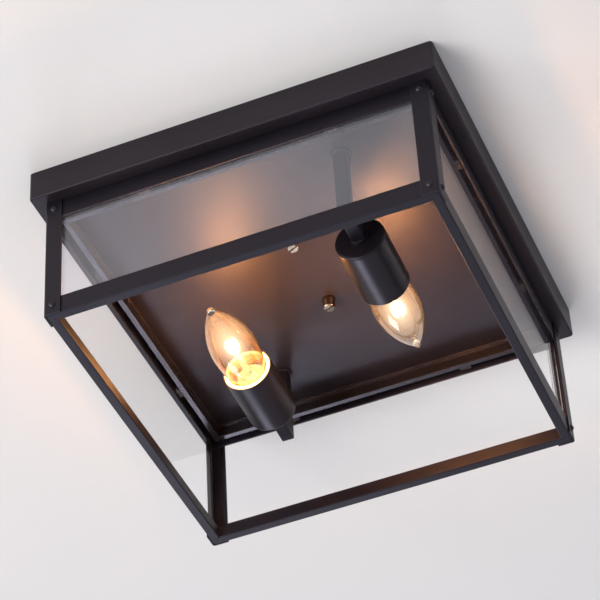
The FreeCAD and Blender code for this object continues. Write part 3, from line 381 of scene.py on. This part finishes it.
# Nodes whose finish differs a little from the rest of their slot.
OWN_MATERIALS = {
    "barrel_washer_near": plated_steel("dark_washer", (0.035, 0.03, 0.03), 0.38),
}
OWN_MATERIALS["barrel_washer_far"] = OWN_MATERIALS["barrel_washer_near"]
CLEAN_GLASS = window_glass("clean_pane_glass", (0.99, 0.99, 0.99), 1.0, 1.15)
for clean_side in ("far", "left", "right"):
    OWN_MATERIALS["glass_pane_" + clean_side] = CLEAN_GLASS
# The stops' edges are much lighter: a painted highlight along their lips, broken into streaks.
STOP_PAINT = black_paint("stop_paint", (0.0045, 0.0034, 0.0036), (0.10, 0.09, 0.09), 0.24, 0.5)
for stop_side in ("near", "far", "left", "right"):
    OWN_MATERIALS["glass_stop_" + stop_side] = STOP_PAINT
COVER_PAINT = black_paint("cover_paint", (0.0050, 0.0040, 0.0050), (0.06, 0.054, 0.06), 0.32, 0.36)
for lamp_side in SIDES:
    OWN_MATERIALS["socket_cover_" + lamp_side] = COVER_PAINT
    OWN_MATERIALS["socket_insulator_" + lamp_side] = porcelain("porcelain_" + lamp_side, lamp_side)


def paint_nodes():
    """Give every CAD node the material of its slot in the record."""
    for part in frame["record"]["subparts"]:
        data = NODES[part["node"]].data
        data.materials.clear()
        own = OWN_MATERIALS.get(part["node"])
        data.materials.append(own or MATERIALS[part["material_slot"]])


def add_piece(name, mesh, slot, body, material=None):
    """Link a mesh as a piece of the object that rides on a body."""
    piece = bpy.data.objects.new(name, mesh)
    bpy.context.scene.collection.objects.link(piece)
    mesh.materials.append(material or MATERIALS[slot])
    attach(piece, body)
    return piece


# --------------------------------------------------------------------------- lamps
CAP_RADIUS = 12.95 * MM
CAP_THREAD_DEPTH = 0.85 * MM
CAP_WALL = 0.35 * MM
CAP_TOP = -7.0 * MM
CAP_THREAD_START = -10.5 * MM
CAP_THREAD_END = -27.2 * MM
CAP_BOTTOM = -28.3 * MM
CAP_TAPER_END = -29.9 * MM
CAP_HOLE = 7.4 * MM
THREAD_PITCH = 3.63 * MM
TURN_STEPS = 72
THREAD_STEPS = 60


def thread_radius(height, angle, crest):
    """Radius of a rolled thread, faded in and out at its ends."""
    wave = 0.5 - 0.5 * math.cos(2 * math.pi * height / THREAD_PITCH + angle)
    run_in = min(1.0, max(0.0, (CAP_THREAD_START - height) / (0.6 * THREAD_PITCH)))
    run_out = min(1.0, max(0.0, (height - CAP_THREAD_END) / (0.3 * THREAD_PITCH)))
    return crest - CAP_THREAD_DEPTH * wave * run_in * run_out


def lamp_cap(side):
    """Screw cap with its rolled thread, in place of the plain CAD cup."""
    heights = [CAP_TOP, CAP_TOP - 0.2 * MM]
    span = CAP_THREAD_END - CAP_THREAD_START
    heights += [CAP_THREAD_START + span * step / THREAD_STEPS for step in range(THREAD_STEPS + 1)]
    heights.append(CAP_BOTTOM)
    mesh = bmesh.new()
    rings = []
    for height in heights:
        outer = partial(thread_radius, height, crest=CAP_RADIUS)
        rings.append(ring(mesh, height, outer))
    rings.append(ring(mesh, CAP_TAPER_END, lambda angle: CAP_HOLE))
    rings.append(ring(mesh, CAP_TAPER_END + CAP_WALL, lambda angle: CAP_HOLE))
    for height in reversed(heights):
        level = max(height, CAP_BOTTOM + CAP_WALL)
        inner = partial(thread_radius, level, crest=CAP_RADIUS - CAP_WALL)
        rings.append(ring(mesh, level, inner))
    bridge(mesh, rings + [rings[0]])
    return finish_mesh(mesh, "lamp_cap_threaded_" + side, lamp_matrix(side))


def ring(mesh, height, radius_at):
    """A ring of points about the local Z axis."""
    points = []
    for step in range(TURN_STEPS):
        angle = 2 * math.pi * step / TURN_STEPS
        radius = radius_at(angle)
        points.append(mesh.verts.new((radius * math.cos(angle), radius * math.sin(angle), height)))
    return points


def bridge(mesh, rings):
    """Quads between each ring and the next."""
    for low, high in zip(rings, rings[1:]):
        for step in range(len(low)):
            following = (step + 1) % len(low)
            mesh.faces.new((low[step], low[following], high[following], high[step]))


def finish_mesh(mesh, name, matrix, smooth=True):
    """Turn a bmesh into mesh data in the row frame, with its faces outwards."""
    bmesh.ops.transform(mesh, matrix=matrix, verts=mesh.verts)
    bmesh.ops.recalc_face_normals(mesh, faces=mesh.faces)
    data = bpy.data.meshes.new(name)
    mesh.to_mesh(data)
    mesh.free()
    for polygon in data.polygons:
        polygon.use_smooth = smooth
    return data


FILAMENT_HEIGHT = 22.0 * MM
FILAMENT_TOP = 31.5 * MM
FILAMENT_RADIUS = 4.6 * MM
FILAMENT_WIRE = 0.34 * MM
FILAMENT_STRANDS = 8
SUPPORT_WIRE = 0.28 * MM
STEM_TOP = 15.0 * MM


def lamp_filament(side):
    """A cage of upright strands, hooked at both ends, that stands on the stem."""
    points = []
    for strand in range(FILAMENT_STRANDS):
        angle = 2 * math.pi * (strand + 0.5) / FILAMENT_STRANDS
        reach = Vector((math.cos(angle), math.sin(angle), 0)) * FILAMENT_RADIUS
        low = reach * 0.62 + Vector((0, 0, FILAMENT_HEIGHT))
        high = reach + Vector((0, 0, FILAMENT_TOP))
        points += [low, high] if strand % 2 == 0 else [high, low]
    curve = bpy.data.curves.new("strands", "CURVE")
    curve.dimensions = "3D"
    curve.bevel_depth = FILAMENT_WIRE
    curve.bevel_resolution = 2
    spline = curve.splines.new("POLY")
    spline.points.add(len(points) - 1)
    for item, point in zip(spline.points, points):
        item.co = (*point, 1)
    return curve_mesh(curve, "lamp_filament_cage_" + side, lamp_matrix(side))


def lamp_supports(side):
    """Two lead-in wires that carry the cage."""
    curve = bpy.data.curves.new("supports", "CURVE")
    curve.dimensions = "3D"
    curve.bevel_depth = SUPPORT_WIRE
    curve.bevel_resolution = 2
    for sign in (-1, 1):
        spline = curve.splines.new("NURBS")
        spline.points.add(3)
        route = (
            (1.2 * MM * sign, 0, STEM_TOP - 1 * MM),
            (1.2 * MM * sign, 0, STEM_TOP + 3 * MM),
            (FILAMENT_RADIUS * 0.62 * sign, 0, FILAMENT_HEIGHT - 3 * MM),
            (FILAMENT_RADIUS * 0.62 * sign, 0, FILAMENT_HEIGHT),
        )
        for item, point in zip(spline.points, route):
            item.co = (*point, 1)
        spline.order_u = 3
        spline.use_endpoint_u = True
    return curve_mesh(curve, "lamp_supports_" + side, lamp_matrix(side))


def curve_mesh(curve, name, matrix):
    """Mesh data of a curve in the row frame."""
    holder = bpy.data.objects.new("holder", curve)
    bpy.context.scene.collection.objects.link(holder)
    bpy.context.view_layer.update()
    data = bpy.data.meshes.new_from_object(holder)
    bpy.data.objects.remove(holder)
    data.name = name
    data.transform(matrix)
    for polygon in data.polygons:
        polygon.use_smooth = True
    return data


# Bodies of light round the filament: radius, length, place along the axis, colour, strength.
GLOWS = (
    ("core", 2.6 * MM, 4.2 * MM, 26.5 * MM, (1.0, 0.95, 0.85), 110.0),
    ("heart", 3.8 * MM, 6.2 * MM, 26.5 * MM, (1.0, 0.94, 0.82), 62.0),
    ("gleam", 5.2 * MM, 8.2 * MM, 26.5 * MM, (1.0, 0.90, 0.75), 34.0),
    ("halo", 6.8 * MM, 10.8 * MM, 27.0 * MM, (1.0, 0.84, 0.67), 18.0),
    ("bloom", 8.6 * MM, 13.8 * MM, 28.0 * MM, (1.0, 0.79, 0.60), 11.0),
    ("haze", 10.6 * MM, 17.6 * MM, 29.5 * MM, (1.0, 0.75, 0.55), 8.0),
    ("mist", 12.6 * MM, 22.5 * MM, 31.0 * MM, (1.0, 0.78, 0.58), 8.0),
    ("air", 14.6 * MM, 28.5 * MM, 33.5 * MM, (1.0, 0.80, 0.63), 6.5),
)


def lamp_glow(side):
    """Nested egg shapes filled with light, which stand for the bloom round a lit filament."""
    for name, radius, length, place, colour, strength in GLOWS:
        mesh = bmesh.new()
        bmesh.ops.create_uvsphere(mesh, u_segments=32, v_segments=20, radius=1)
        shape = Matrix.Translation((0, 0, place)) @ Matrix.Diagonal((radius, radius, length, 1))
        data = finish_mesh(mesh, "lamp_%s_%s" % (name, side), lamp_matrix(side) @ shape)
        material = glow_volume("glow_" + name + "_" + side, colour, strength)
        glow = add_piece(data.name, data, "filament_metal", "lamp_" + side, material)
        glow.visible_shadow = False


def dress_lamps():
    """Detailed pieces of both lamps."""
    for side in SIDES:
        cap = lamp_cap(side)
        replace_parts(add_piece(cap.name, cap, "cap_metal", "lamp_" + side), "lamp_cap_" + side)
        strands = lamp_filament(side)
        piece = add_piece(strands.name, strands, "filament_metal", "lamp_" + side)
        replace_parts(piece, "lamp_filament_" + side)
        wires = lamp_supports(side)
        add_piece(wires.name, wires, "solder", "lamp_" + side)
        lamp_glow(side)


# --------------------------------------------------------------------------- threads
# Threaded rods in place of plain CAD ones:
# node, slot, pitch, depth, bore, rings a turn, steps round.
RODS = (
    ("mounting_studs", "zinc_steel", 0.794 * MM, 0.42 * MM, 0.0, 8, 28),
    ("arm_nipples", "zinc_steel", 0.94 * MM, 0.50 * MM, 2.75 * MM, 8, 40),
)


def rod_mesh(mesh, middle, low, high, crest, pitch, depth, bore, rings_a_turn, steps):
    """A rod, or a tube where it has a bore, with a thread that fades out at both ends."""
    count = round((high - low) / pitch * rings_a_turn)
    rings = []

    def circle(height, radius_at):
        points = []
        for step in range(steps):
            angle = 2 * math.pi * step / steps
            radius = radius_at(angle)
            place = middle + Vector((radius * math.cos(angle), radius * math.sin(angle), height))
            points.append(mesh.verts.new(place))
        rings.append(points)

    for number in range(count + 1):
        height = low + (high - low) * number / count
        near_end = min(height - low, high - height) / pitch
        chamfer = depth * max(0.0, 1 - near_end)

        def radius_at(angle, height=height, chamfer=chamfer):
            turn = (height / pitch - angle / (2 * math.pi)) % 1
            return crest - max(chamfer, depth * (1 - abs(2 * turn - 1)))
        circle(height, radius_at)
    if bore:
        circle(high, lambda angle: bore)
        circle(low, lambda angle: bore)
        rings.append(rings[0])
    else:
        mesh.faces.new(rings[0])
        mesh.faces.new(rings[-1])
    for first, second in zip(rings, rings[1:]):
        for step in range(steps):
            following = (step + 1) % steps
            mesh.faces.new((first[step], first[following], second[following], second[step]))


def dress_rods():
    """Cut threads on the studs and on the arms' hollow nipples."""
    for node, slot, pitch, depth, bore, rings_a_turn, steps in RODS:
        low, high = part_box(node)
        mesh = bmesh.new()
        for middle, crest in rod_places(node):
            rod_mesh(mesh, middle, low.z, high.z, crest, pitch, depth, bore, rings_a_turn, steps)
        data = finish_mesh(mesh, node + "_threaded", Matrix.Identity(4), smooth=False)
        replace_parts(add_piece(data.name, data, slot, "lantern"), node)


def rod_places(node):
    """The axis and radius of each of a node's two upright rods, read from its CAD mesh."""
    low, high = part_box(node)
    split = (low + high) / 2
    places = []
    for sign in (-1, 1):
        points = [v.co for v in NODES[node].data.vertices if (v.co.y - split.y) * sign > 0]
        xs = [p.x for p in points]
        ys = [p.y for p in points]
        middle = Vector(((min(xs) + max(xs)) / 2, (min(ys) + max(ys)) / 2, 0))
        places.append((middle, (max(ys) - min(ys)) / 2))
    return places


# --------------------------------------------------------------------------- stage and light
CEILING_REACH = 6.0
CEILING_LAP = 0.6 * MM                # how far the ceiling reaches in over the pan's rim
CEILING_COLOUR = (0.80, 0.78, 0.735)


def see_through_back(tree):
    """Make a surface clear to rays that meet its back."""
    geometry = tree.add("ShaderNodeNewGeometry")
    clear = tree.add("ShaderNodeBsdfTransparent")
    choice = tree.add("ShaderNodeMixShader")
    tree.links.new(geometry.outputs["Backfacing"], choice.inputs[0])
    tree.links.new(tree.shader.outputs[0], choice.inputs[1])
    tree.links.new(clear.outputs[0], choice.inputs[2])
    tree.links.new(choice.outputs[0], tree.output.inputs["Surface"])


def add_ceiling():
    """A plain painted ceiling round the pan, open behind it and seen only from below."""
    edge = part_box("ceiling_pan")[1].x - CEILING_LAP
    corners = ((-1, -1), (1, -1), (1, 1), (-1, 1))
    mesh = bmesh.new()
    inner = [mesh.verts.new((x * edge, y * edge, 0)) for x, y in corners]
    outer = [mesh.verts.new((x * CEILING_REACH, y * CEILING_REACH, 0)) for x, y in corners]
    for step in range(4):
        following = (step + 1) % 4
        mesh.faces.new((inner[step], inner[following], outer[following], outer[step]))
    data = bpy.data.meshes.new("ceiling")
    mesh.to_mesh(data)
    mesh.free()
    if data.polygons[0].normal.z > 0:
        data.flip_normals()
    ceiling = bpy.data.objects.new("ceiling", data)
    bpy.context.scene.collection.objects.link(ceiling)
    tree = Tree("ceiling_paint")
    plaster = tree.noise(60, detail=5)
    darker = tuple(0.97 * c for c in CEILING_COLOUR)
    tree.set(Base_Color=tree.mix(tree.noise(2.5), CEILING_COLOUR, darker))
    tree.set(Roughness=0.9, Normal=tree.bump(plaster, 0.15 * MM, 0.5))
    see_through_back(tree)
    data.materials.append(tree.material)


LEFT_COLOUR = (0.64, 0.61, 0.65)      # the room's walls, level with the lantern, on its left
RIGHT_COLOUR = (0.34, 0.33, 0.355)    # the same on its right
BELOW_COLOUR = (0.56, 0.575, 0.66)    # the pale floor far below


def add_world():
    """A pale room: its walls shade from left to right, over a pale floor."""
    world = bpy.data.worlds.new("room")
    bpy.context.scene.world = world
    world.use_nodes = True
    nodes = world.node_tree.nodes
    links = world.node_tree.links
    shade = nodes["Background"]
    place = nodes.new("ShaderNodeTexCoord")
    split = nodes.new("ShaderNodeSeparateXYZ")
    links.new(place.outputs["Generated"], split.inputs[0])
    steep = nodes.new("ShaderNodeMapRange")
    steep.inputs["From Min"].default_value = -0.1
    steep.inputs["From Max"].default_value = -0.85
    links.new(split.outputs["Z"], steep.inputs["Value"])
    beside = nodes.new("ShaderNodeMapRange")
    beside.inputs["From Min"].default_value = -0.5
    beside.inputs["From Max"].default_value = 0.7
    links.new(split.outputs["X"], beside.inputs["Value"])
    level = nodes.new("ShaderNodeMix")
    level.data_type = "RGBA"
    level.inputs[6].default_value = (*LEFT_COLOUR, 1)
    level.inputs[7].default_value = (*RIGHT_COLOUR, 1)
    links.new(beside.outputs["Result"], level.inputs["Factor"])
    tone = nodes.new("ShaderNodeMix")
    tone.data_type = "RGBA"
    tone.inputs[7].default_value = (*BELOW_COLOUR, 1)
    links.new(level.outputs[2], tone.inputs[6])
    links.new(steep.outputs["Result"], tone.inputs["Factor"])
    links.new(tone.outputs[2], shade.inputs["Color"])


def add_area(name, place, aim, size, power, colour):
    """A soft square light that points at a spot."""
    data = bpy.data.lights.new(name, "AREA")
    data.size = size
    data.energy = power
    data.color = colour
    lamp = bpy.data.objects.new(name, data)
    bpy.context.scene.collection.objects.link(lamp)
    way = Vector(aim) - Vector(place)
    turn = way.to_track_quat("-Z", "Y").to_matrix().to_4x4()
    lamp.matrix_world = Matrix.Translation(place) @ turn


LAMP_COLOUR = (1.0, 0.49, 0.18)
LAMP_POWER = 1.0
LAMP_BALL = 5.0 * MM
LAMP_LIGHT_PLACE = 27.0 * MM


def add_lights():
    """A soft key light from the near left, a window on the far left and the lit filaments."""
    add_area("key", (-1.7, -2.0, -1.5), (-0.1, -0.4, 0), 1.8, 68.0, (1.0, 0.98, 0.98))
    add_area("window", (-1.3, 2.2, -1.85), (0, 0, -0.08), 1.0, 16.0, (0.80, 0.87, 1.0))
    for side in SIDES:
        data = bpy.data.lights.new("filament_" + side, "POINT")
        data.energy = LAMP_POWER
        data.color = LAMP_COLOUR
        data.shadow_soft_size = LAMP_BALL
        lamp = bpy.data.objects.new("filament_light_" + side, data)
        lamp.location = lamp_matrix(side) @ Vector((0, 0, LAMP_LIGHT_PLACE))
        bpy.context.scene.collection.objects.link(lamp)


# --------------------------------------------------------------------------- assembly
add_camera()
paint_nodes()
dress_lamps()
dress_rods()
add_ceiling()
add_world()
add_lights()
bpy.context.scene.view_settings.view_transform = "Standard"
